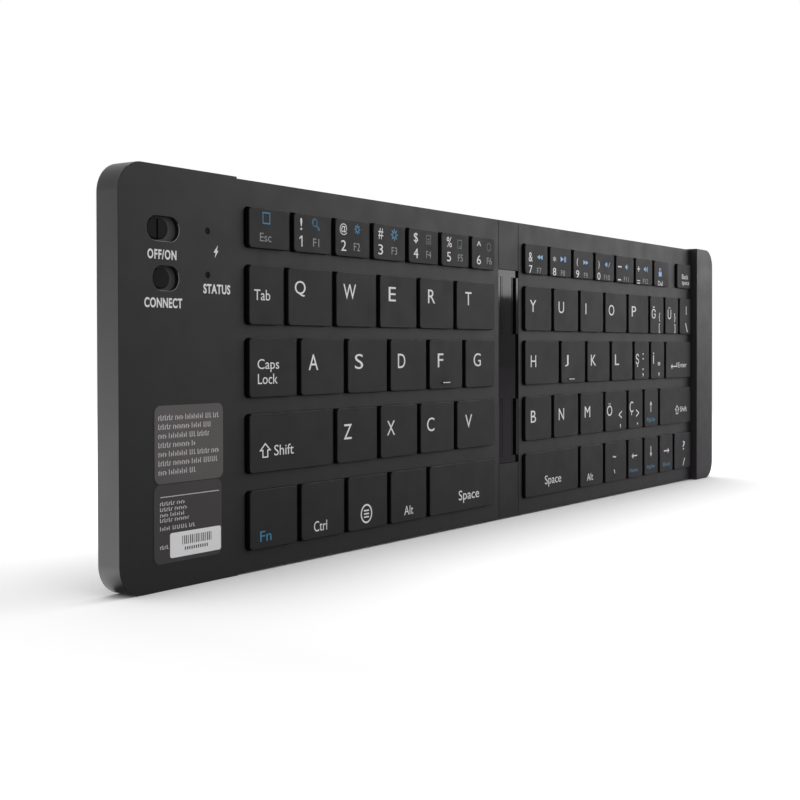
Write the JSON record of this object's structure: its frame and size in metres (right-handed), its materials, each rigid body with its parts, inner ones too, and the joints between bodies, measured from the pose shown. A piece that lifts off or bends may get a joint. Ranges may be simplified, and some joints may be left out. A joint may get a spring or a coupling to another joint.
{
  "type": "folding keyboard",
  "caption": "Pocket keyboard in two flat halves that fold face to face about a two-axis spine, with low keys, a switch margin and a raised end rail.",
  "frame": {"origin": "middle of the box at the height of the feet's lower faces, keyboard open and flat", "axes": "+X along the key rows towards the raised end rail, +Y towards the number row, +Z out of the keys"},
  "size_m": [0.289, 0.082, 0.0086],
  "materials": {
    "case_plastic": "fine satin, dark grey",
    "deck_plastic": "fine matte, charcoal",
    "gloss_cover": "polished black",
    "key_plastic": "soft matte, charcoal",
    "knob_plastic": "black, ribbed top",
    "foot_rubber": "soft black rubber",
    "dome_rubber": "translucent silicone",
    "link_plastic": "natural white",
    "film": "clear polyester film",
    "sheet_steel": "bright sheet",
    "fastener_steel": "machined",
    "magnet_plating": "nickel plated",
    "socket_steel": "stamped shell",
    "cell_foil": "crimped foil pouch",
    "board": "green solder mask",
    "lamp_lens": "smoked lens"
  },
  "bodies": {
    "left_half": {"left_base": "case_plastic", "left_deck": "deck_plastic", "margin_cover": "case_plastic", "left_feet": "foot_rubber", "left_screws": "fastener_steel", "left_key_plate": "sheet_steel", "left_membrane": "film", "left_dome_sheet": "dome_rubber", "left_scissors": "link_plastic", "battery": "cell_foil", "main_board": "board", "charge_port": "socket_steel", "light_pipes": "lamp_lens", "left_magnets": "magnet_plating", "left_hinge_leaf": "gloss_cover"},
    "spine": {"spine_body": "case_plastic", "spine_cover": "gloss_cover", "hinge_pins": "fastener_steel", "flex_cable": "film"},
    "right_half": {"right_base": "case_plastic", "right_deck": "deck_plastic", "end_rail": "case_plastic", "right_feet": "foot_rubber", "right_screws": "fastener_steel", "right_key_plate": "sheet_steel", "right_membrane": "film", "right_dome_sheet": "dome_rubber", "right_scissors": "link_plastic", "right_magnets": "magnet_plating", "right_hinge_leaf": "gloss_cover"},
    "power_slider": {"power_slider": "knob_plastic"},
    "connect_slider": {"connect_slider": "knob_plastic"},
    "key_tab": {"key_tab": "key_plastic"},
    "key_q": {"key_q": "key_plastic"},
    "key_w": {"key_w": "key_plastic"},
    "key_e": {"key_e": "key_plastic"},
    "key_r": {"key_r": "key_plastic"},
    "key_t": {"key_t": "key_plastic"},
    "key_caps_lock": {"key_caps_lock": "key_plastic"},
    "key_a": {"key_a": "key_plastic"},
    "key_s": {"key_s": "key_plastic"},
    "key_d": {"key_d": "key_plastic"},
    "key_f": {"key_f": "key_plastic"},
    "key_g": {"key_g": "key_plastic"},
    "key_left_shift": {"key_left_shift": "key_plastic"},
    "key_z": {"key_z": "key_plastic"},
    "key_x": {"key_x": "key_plastic"},
    "key_c": {"key_c": "key_plastic"},
    "key_v": {"key_v": "key_plastic"},
    "key_fn": {"key_fn": "key_plastic"},
    "key_ctrl": {"key_ctrl": "key_plastic"},
    "key_system": {"key_system": "key_plastic"},
    "key_left_alt": {"key_left_alt": "key_plastic"},
    "key_left_space": {"key_left_space": "key_plastic"},
    "left_number_keys": {"left_number_keys": "key_plastic"},
    "right_number_keys": {"right_number_keys": "key_plastic"},
    "right_upper_keys": {"right_upper_keys": "key_plastic"},
    "right_home_keys": {"right_home_keys": "key_plastic"},
    "right_lower_keys": {"right_lower_keys": "key_plastic"},
    "right_bottom_keys": {"right_bottom_keys": "key_plastic"}
  },
  "joints": [
    {"name": "left_fold", "type": "hinge", "parent": "left_half", "child": "spine", "pos_m": [-0.00301, 0, 0.0045], "axis": [0, -1, 0], "range_deg": [0, 90], "deforming": ["flex_cable"]},
    {"name": "right_fold", "type": "hinge", "parent": "spine", "child": "right_half", "pos_m": [0.00301, 0, 0.0045], "axis": [0, -1, 0], "range_deg": [0, 90]},
    {"name": "power_slide", "type": "slide", "parent": "left_half", "child": "power_slider", "axis": [1, 0, 0], "range_m": [0, 0.0025]},
    {"name": "connect_slide", "type": "slide", "parent": "left_half", "child": "connect_slider", "axis": [1, 0, 0], "range_m": [0, 0.002], "stiffness_N_per_m": 150},
    {"name": "key_tab_press", "type": "slide", "parent": "left_half", "child": "key_tab", "axis": [0, 0, -1], "range_m": [0, 0.0012], "stiffness_N_per_m": 420, "deforming": ["left_dome_sheet", "left_scissors"]},
    {"name": "key_q_press", "type": "slide", "parent": "left_half", "child": "key_q", "axis": [0, 0, -1], "range_m": [0, 0.0012], "stiffness_N_per_m": 420, "deforming": ["left_dome_sheet", "left_scissors"]},
    {"name": "key_w_press", "type": "slide", "parent": "left_half", "child": "key_w", "axis": [0, 0, -1], "range_m": [0, 0.0012], "stiffness_N_per_m": 420, "deforming": ["left_dome_sheet", "left_scissors"]},
    {"name": "key_e_press", "type": "slide", "parent": "left_half", "child": "key_e", "axis": [0, 0, -1], "range_m": [0, 0.0012], "stiffness_N_per_m": 420, "deforming": ["left_dome_sheet", "left_scissors"]},
    {"name": "key_r_press", "type": "slide", "parent": "left_half", "child": "key_r", "axis": [0, 0, -1], "range_m": [0, 0.0012], "stiffness_N_per_m": 420, "deforming": ["left_dome_sheet", "left_scissors"]},
    {"name": "key_t_press", "type": "slide", "parent": "left_half", "child": "key_t", "axis": [0, 0, -1], "range_m": [0, 0.0012], "stiffness_N_per_m": 420, "deforming": ["left_dome_sheet", "left_scissors"]},
    {"name": "key_caps_lock_press", "type": "slide", "parent": "left_half", "child": "key_caps_lock", "axis": [0, 0, -1], "range_m": [0, 0.0012], "stiffness_N_per_m": 420, "deforming": ["left_dome_sheet", "left_scissors"]},
    {"name": "key_a_press", "type": "slide", "parent": "left_half", "child": "key_a", "axis": [0, 0, -1], "range_m": [0, 0.0012], "stiffness_N_per_m": 420, "deforming": ["left_dome_sheet", "left_scissors"]},
    {"name": "key_s_press", "type": "slide", "parent": "left_half", "child": "key_s", "axis": [0, 0, -1], "range_m": [0, 0.0012], "stiffness_N_per_m": 420, "deforming": ["left_dome_sheet", "left_scissors"]},
    {"name": "key_d_press", "type": "slide", "parent": "left_half", "child": "key_d", "axis": [0, 0, -1], "range_m": [0, 0.0012], "stiffness_N_per_m": 420, "deforming": ["left_dome_sheet", "left_scissors"]},
    {"name": "key_f_press", "type": "slide", "parent": "left_half", "child": "key_f", "axis": [0, 0, -1], "range_m": [0, 0.0012], "stiffness_N_per_m": 420, "deforming": ["left_dome_sheet", "left_scissors"]},
    {"name": "key_g_press", "type": "slide", "parent": "left_half", "child": "key_g", "axis": [0, 0, -1], "range_m": [0, 0.0012], "stiffness_N_per_m": 420, "deforming": ["left_dome_sheet", "left_scissors"]},
    {"name": "key_left_shift_press", "type": "slide", "parent": "left_half", "child": "key_left_shift", "axis": [0, 0, -1], "range_m": [0, 0.0012], "stiffness_N_per_m": 420, "deforming": ["left_dome_sheet", "left_scissors"]},
    {"name": "key_z_press", "type": "slide", "parent": "left_half", "child": "key_z", "axis": [0, 0, -1], "range_m": [0, 0.0012], "stiffness_N_per_m": 420, "deforming": ["left_dome_sheet", "left_scissors"]},
    {"name": "key_x_press", "type": "slide", "parent": "left_half", "child": "key_x", "axis": [0, 0, -1], "range_m": [0, 0.0012], "stiffness_N_per_m": 420, "deforming": ["left_dome_sheet", "left_scissors"]},
    {"name": "key_c_press", "type": "slide", "parent": "left_half", "child": "key_c", "axis": [0, 0, -1], "range_m": [0, 0.0012], "stiffness_N_per_m": 420, "deforming": ["left_dome_sheet", "left_scissors"]},
    {"name": "key_v_press", "type": "slide", "parent": "left_half", "child": "key_v", "axis": [0, 0, -1], "range_m": [0, 0.0012], "stiffness_N_per_m": 420, "deforming": ["left_dome_sheet", "left_scissors"]},
    {"name": "key_fn_press", "type": "slide", "parent": "left_half", "child": "key_fn", "axis": [0, 0, -1], "range_m": [0, 0.0012], "stiffness_N_per_m": 420, "deforming": ["left_dome_sheet", "left_scissors"]},
    {"name": "key_ctrl_press", "type": "slide", "parent": "left_half", "child": "key_ctrl", "axis": [0, 0, -1], "range_m": [0, 0.0012], "stiffness_N_per_m": 420, "deforming": ["left_dome_sheet", "left_scissors"]},
    {"name": "key_system_press", "type": "slide", "parent": "left_half", "child": "key_system", "axis": [0, 0, -1], "range_m": [0, 0.0012], "stiffness_N_per_m": 420, "deforming": ["left_dome_sheet", "left_scissors"]},
    {"name": "key_left_alt_press", "type": "slide", "parent": "left_half", "child": "key_left_alt", "axis": [0, 0, -1], "range_m": [0, 0.0012], "stiffness_N_per_m": 420, "deforming": ["left_dome_sheet", "left_scissors"]},
    {"name": "key_left_space_press", "type": "slide", "parent": "left_half", "child": "key_left_space", "axis": [0, 0, -1], "range_m": [0, 0.0012], "stiffness_N_per_m": 420, "deforming": ["left_dome_sheet", "left_scissors"]},
    {"name": "left_number_keys_press", "type": "slide", "parent": "left_half", "child": "left_number_keys", "axis": [0, 0, -1], "range_m": [0, 0.0012], "stiffness_N_per_m": 2940, "deforming": ["left_dome_sheet", "left_scissors"]},
    {"name": "right_number_keys_press", "type": "slide", "parent": "right_half", "child": "right_number_keys", "axis": [0, 0, -1], "range_m": [0, 0.0012], "stiffness_N_per_m": 3360, "deforming": ["right_dome_sheet", "right_scissors"]},
    {"name": "right_upper_keys_press", "type": "slide", "parent": "right_half", "child": "right_upper_keys", "axis": [0, 0, -1], "range_m": [0, 0.0012], "stiffness_N_per_m": 3360, "deforming": ["right_dome_sheet", "right_scissors"]},
    {"name": "right_home_keys_press", "type": "slide", "parent": "right_half", "child": "right_home_keys", "axis": [0, 0, -1], "range_m": [0, 0.0012], "stiffness_N_per_m": 2940, "deforming": ["right_dome_sheet", "right_scissors"]},
    {"name": "right_lower_keys_press", "type": "slide", "parent": "right_half", "child": "right_lower_keys", "axis": [0, 0, -1], "range_m": [0, 0.0012], "stiffness_N_per_m": 2940, "deforming": ["right_dome_sheet", "right_scissors"]},
    {"name": "right_bottom_keys_press", "type": "slide", "parent": "right_half", "child": "right_bottom_keys", "axis": [0, 0, -1], "range_m": [0, 0.0012], "stiffness_N_per_m": 2940, "deforming": ["right_dome_sheet", "right_scissors"]}
  ]
}
